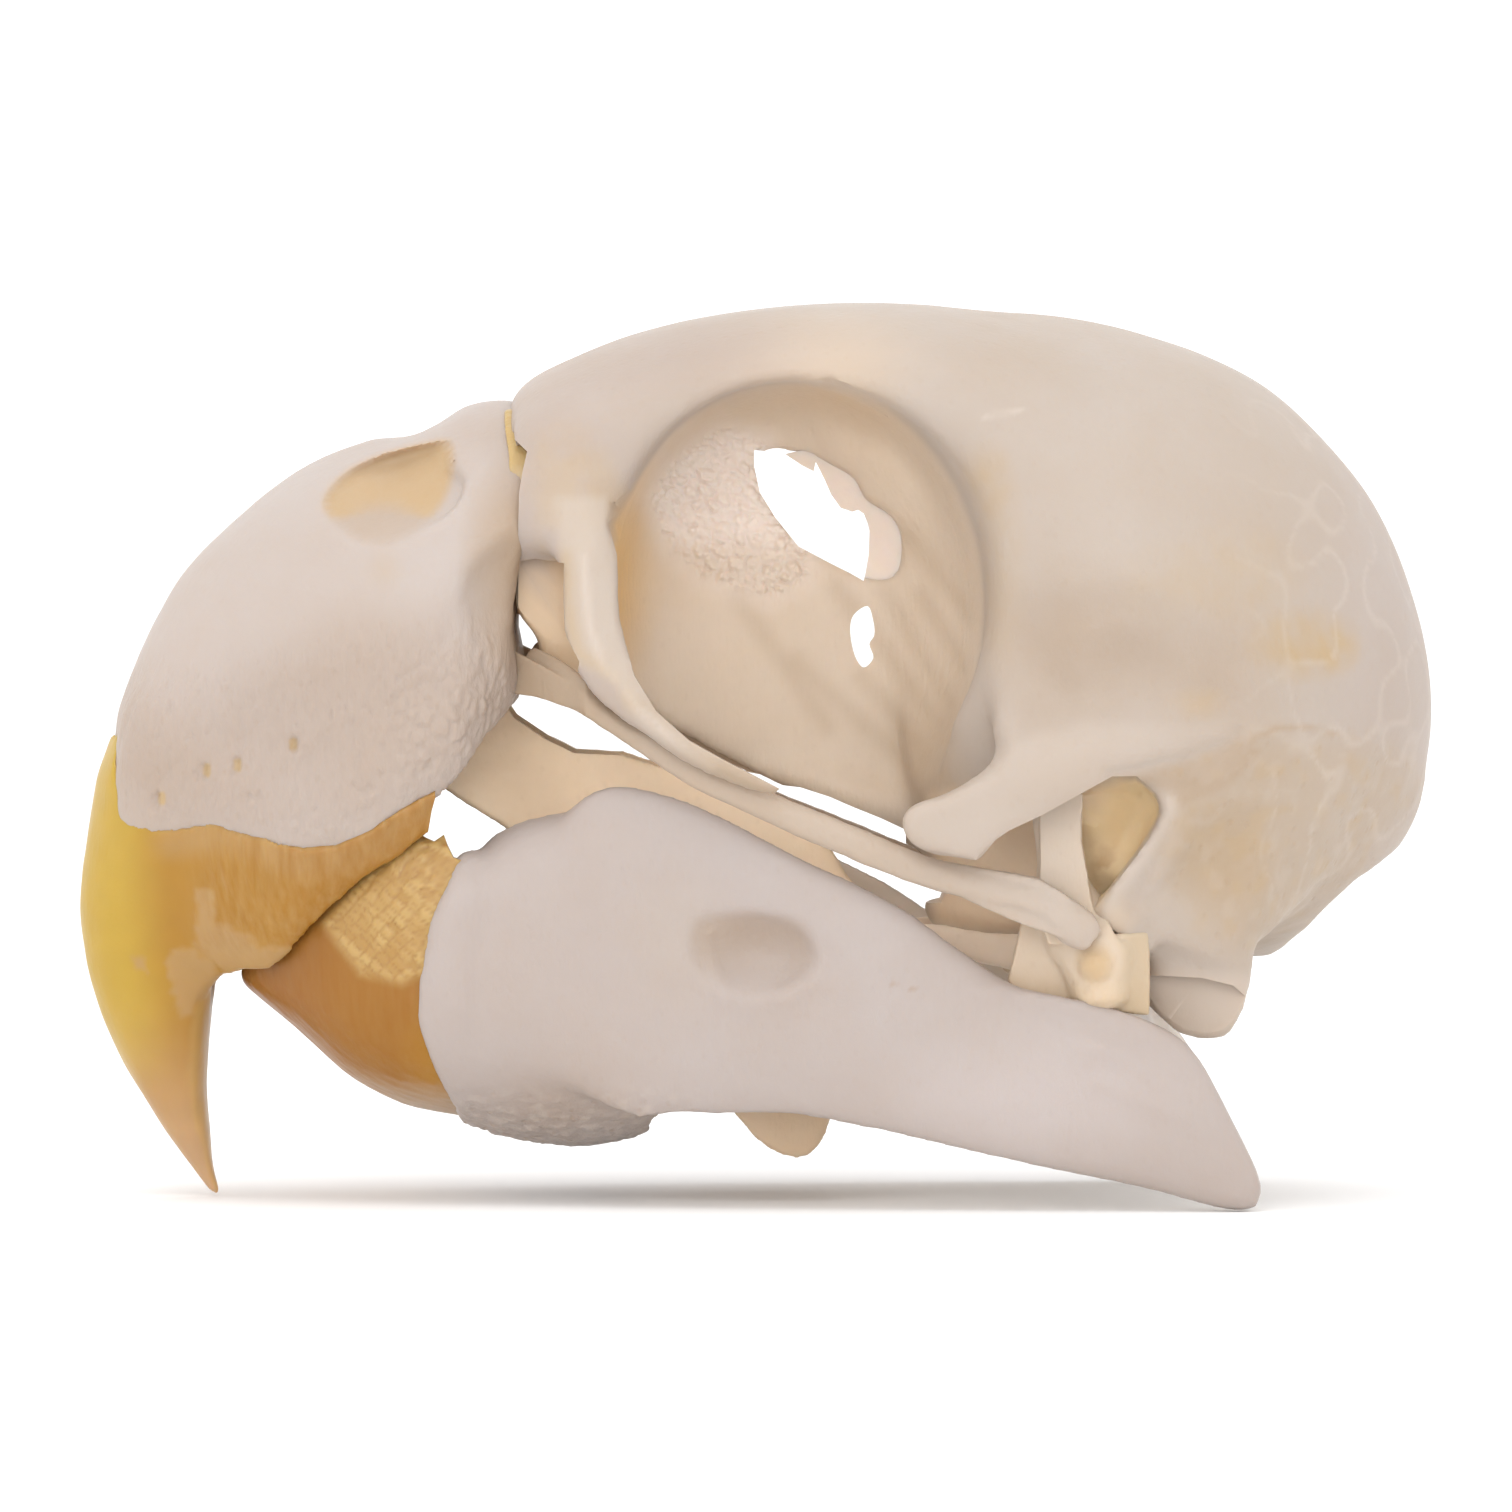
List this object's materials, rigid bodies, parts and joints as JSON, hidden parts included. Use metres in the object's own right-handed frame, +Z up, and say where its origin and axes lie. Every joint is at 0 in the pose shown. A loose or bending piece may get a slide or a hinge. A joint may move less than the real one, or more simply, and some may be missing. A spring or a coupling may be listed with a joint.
{
  "type": "parrot skull",
  "caption": "Life-size skull of a medium parrot with hooked bill, horn sheaths and lower jaw in place, resting on bill tip and jaw ends.",
  "frame": {"origin": "on the floor, under the middle of the skull's bounding box", "axes": "-X towards the bill, +X towards the back of the head, -Y the bird's left, +Z up"},
  "size_m": [0.0704, 0.033, 0.0465],
  "materials": {
    "bone": "dry cleaned bone, matte to satin",
    "horn": "dry keratin, satin, yellow to orange brown"
  },
  "bodies": {
    "root": {"cranium": "bone", "upper_bill": "bone", "upper_sheath": "horn", "mandible": "bone", "lower_sheath": "horn", "palatine_left": "bone", "palatine_right": "bone", "quadrate_left": "bone", "quadrate_right": "bone", "pterygoid_left": "bone", "pterygoid_right": "bone", "jugal_left": "bone", "jugal_right": "bone"}
  },
  "joints": []
}
